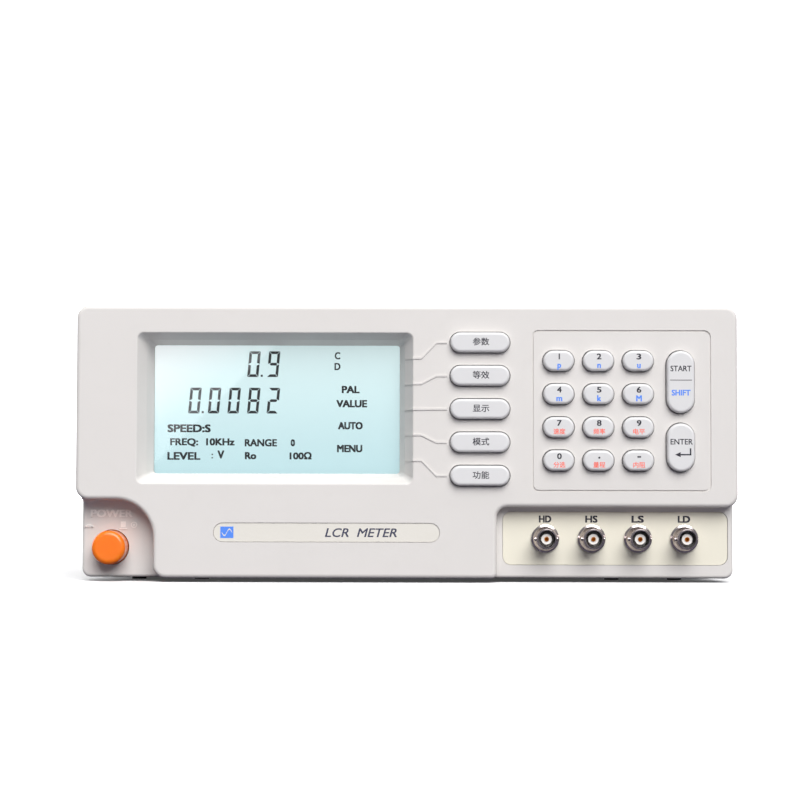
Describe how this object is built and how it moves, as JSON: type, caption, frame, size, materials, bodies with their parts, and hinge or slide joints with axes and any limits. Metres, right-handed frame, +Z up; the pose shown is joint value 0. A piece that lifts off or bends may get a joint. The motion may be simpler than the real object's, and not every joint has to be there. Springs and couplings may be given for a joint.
{
  "type": "bench lcr meter",
  "caption": "Bench LCR meter in a flat metal case with a moulded front, pale display, soft keys, keypad, push button and coaxial test jacks.",
  "frame": {"origin": "on the bench, under the middle of the overall box", "axes": "+Z up, -Y out of the front panel towards the user, +X to the right seen from the front"},
  "size_m": [0.313, 0.32, 0.131],
  "materials": {
    "bezel_plastic": "fine moulded texture",
    "key_plastic": "smooth satin",
    "button_orange": "glossy",
    "window_clear": "clear, polished",
    "lcd": "pale backlit",
    "plate_cream": "satin printed",
    "nameplate_cream": "satin printed",
    "case_paint": "fine textured powder coat",
    "panel_paint": "satin",
    "plated_steel": "zinc plated",
    "jack_nickel": "bright nickel plate",
    "insulator_white": "white",
    "contact_gilt": "gilt",
    "black_plastic": "moulded",
    "rubber_black": "matt",
    "silicone": "matt",
    "board_green": "solder mask",
    "lamination": "varnished",
    "winding_tape": "polyester tape"
  },
  "bodies": {
    "root": {"ac_inlet": "black_plastic", "bnc_contacts": "contact_gilt", "bnc_insulators": "insulator_white", "bnc_nuts": "jack_nickel", "bnc_shell_hd": "jack_nickel", "bnc_shell_hs": "jack_nickel", "bnc_shell_ld": "jack_nickel", "bnc_shell_ls": "jack_nickel", "board_standoffs": "plated_steel", "bottom_tray": "case_paint", "case_screws": "plated_steel", "display_window": "window_clear", "earth_terminal": "jack_nickel", "foot_pads": "rubber_black", "front_bezel": "bezel_plastic", "front_foot_left": "black_plastic", "front_foot_right": "black_plastic", "handler_port": "plated_steel", "keypad_board": "board_green", "keypad_mat": "silicone", "lcd_board": "board_green", "lcd_frame": "plated_steel", "lcd_glass": "lcd", "main_board": "board_green", "nameplate": "nameplate_cream", "power_switch": "black_plastic", "rear_feet": "black_plastic", "rear_guards": "black_plastic", "rear_panel": "panel_paint", "serial_port": "plated_steel", "shield_can": "plated_steel", "terminal_plate": "plate_cream", "tilt_pins": "plated_steel", "top_cover": "case_paint", "transformer_core": "lamination", "transformer_winding": "winding_tape"},
    "key_0": {"key_0": "key_plastic"},
    "key_1": {"key_1": "key_plastic"},
    "key_2": {"key_2": "key_plastic"},
    "key_3": {"key_3": "key_plastic"},
    "key_4": {"key_4": "key_plastic"},
    "key_5": {"key_5": "key_plastic"},
    "key_6": {"key_6": "key_plastic"},
    "key_7": {"key_7": "key_plastic"},
    "key_8": {"key_8": "key_plastic"},
    "key_9": {"key_9": "key_plastic"},
    "key_point": {"key_point": "key_plastic"},
    "key_minus": {"key_minus": "key_plastic"},
    "key_start": {"key_start": "key_plastic"},
    "key_enter": {"key_enter": "key_plastic"},
    "softkey_1": {"softkey_1": "key_plastic"},
    "softkey_2": {"softkey_2": "key_plastic"},
    "softkey_3": {"softkey_3": "key_plastic"},
    "softkey_4": {"softkey_4": "key_plastic"},
    "softkey_5": {"softkey_5": "key_plastic"},
    "power_button": {"power_button": "button_orange", "power_push_rod": "black_plastic"},
    "tilt_leg_left": {"tilt_leg_left": "black_plastic"},
    "tilt_leg_right": {"tilt_leg_right": "black_plastic"},
    "fuse_drawer": {"fuse_drawer": "black_plastic"}
  },
  "joints": [
    {"name": "key_0_press", "type": "slide", "parent": "root", "child": "key_0", "axis": [0, 1, 0], "range_m": [0, 0.0013], "stiffness_N_per_m": 1200},
    {"name": "key_1_press", "type": "slide", "parent": "root", "child": "key_1", "axis": [0, 1, 0], "range_m": [0, 0.0013], "stiffness_N_per_m": 1200},
    {"name": "key_2_press", "type": "slide", "parent": "root", "child": "key_2", "axis": [0, 1, 0], "range_m": [0, 0.0013], "stiffness_N_per_m": 1200},
    {"name": "key_3_press", "type": "slide", "parent": "root", "child": "key_3", "axis": [0, 1, 0], "range_m": [0, 0.0013], "stiffness_N_per_m": 1200},
    {"name": "key_4_press", "type": "slide", "parent": "root", "child": "key_4", "axis": [0, 1, 0], "range_m": [0, 0.0013], "stiffness_N_per_m": 1200},
    {"name": "key_5_press", "type": "slide", "parent": "root", "child": "key_5", "axis": [0, 1, 0], "range_m": [0, 0.0013], "stiffness_N_per_m": 1200},
    {"name": "key_6_press", "type": "slide", "parent": "root", "child": "key_6", "axis": [0, 1, 0], "range_m": [0, 0.0013], "stiffness_N_per_m": 1200},
    {"name": "key_7_press", "type": "slide", "parent": "root", "child": "key_7", "axis": [0, 1, 0], "range_m": [0, 0.0013], "stiffness_N_per_m": 1200},
    {"name": "key_8_press", "type": "slide", "parent": "root", "child": "key_8", "axis": [0, 1, 0], "range_m": [0, 0.0013], "stiffness_N_per_m": 1200},
    {"name": "key_9_press", "type": "slide", "parent": "root", "child": "key_9", "axis": [0, 1, 0], "range_m": [0, 0.0013], "stiffness_N_per_m": 1200},
    {"name": "key_point_press", "type": "slide", "parent": "root", "child": "key_point", "axis": [0, 1, 0], "range_m": [0, 0.0013], "stiffness_N_per_m": 1200},
    {"name": "key_minus_press", "type": "slide", "parent": "root", "child": "key_minus", "axis": [0, 1, 0], "range_m": [0, 0.0013], "stiffness_N_per_m": 1200},
    {"name": "key_start_press", "type": "slide", "parent": "root", "child": "key_start", "axis": [0, 1, 0], "range_m": [0, 0.0013], "stiffness_N_per_m": 1200},
    {"name": "key_enter_press", "type": "slide", "parent": "root", "child": "key_enter", "axis": [0, 1, 0], "range_m": [0, 0.0013], "stiffness_N_per_m": 1200},
    {"name": "softkey_1_press", "type": "slide", "parent": "root", "child": "softkey_1", "axis": [0, 1, 0], "range_m": [0, 0.0013], "stiffness_N_per_m": 1200},
    {"name": "softkey_2_press", "type": "slide", "parent": "root", "child": "softkey_2", "axis": [0, 1, 0], "range_m": [0, 0.0013], "stiffness_N_per_m": 1200},
    {"name": "softkey_3_press", "type": "slide", "parent": "root", "child": "softkey_3", "axis": [0, 1, 0], "range_m": [0, 0.0013], "stiffness_N_per_m": 1200},
    {"name": "softkey_4_press", "type": "slide", "parent": "root", "child": "softkey_4", "axis": [0, 1, 0], "range_m": [0, 0.0013], "stiffness_N_per_m": 1200},
    {"name": "softkey_5_press", "type": "slide", "parent": "root", "child": "softkey_5", "axis": [0, 1, 0], "range_m": [0, 0.0013], "stiffness_N_per_m": 1200},
    {"name": "power_press", "type": "slide", "parent": "root", "child": "power_button", "axis": [0, 1, 0], "range_m": [0, 0.005], "stiffness_N_per_m": 900},
    {"name": "tilt_leg_left_fold", "type": "hinge", "parent": "root", "child": "tilt_leg_left", "pos_m": [-0.116, -0.1106, 0.0035], "axis": [-1, 0, 0], "range_deg": [0, 100]},
    {"name": "tilt_leg_right_fold", "type": "hinge", "parent": "root", "child": "tilt_leg_right", "pos_m": [0.116, -0.1106, 0.0035], "axis": [-1, 0, 0], "range_deg": [0, 100]},
    {"name": "fuse_drawer_pull", "type": "slide", "parent": "root", "child": "fuse_drawer", "axis": [0, 1, 0], "range_m": [0, 0.014]}
  ]
}
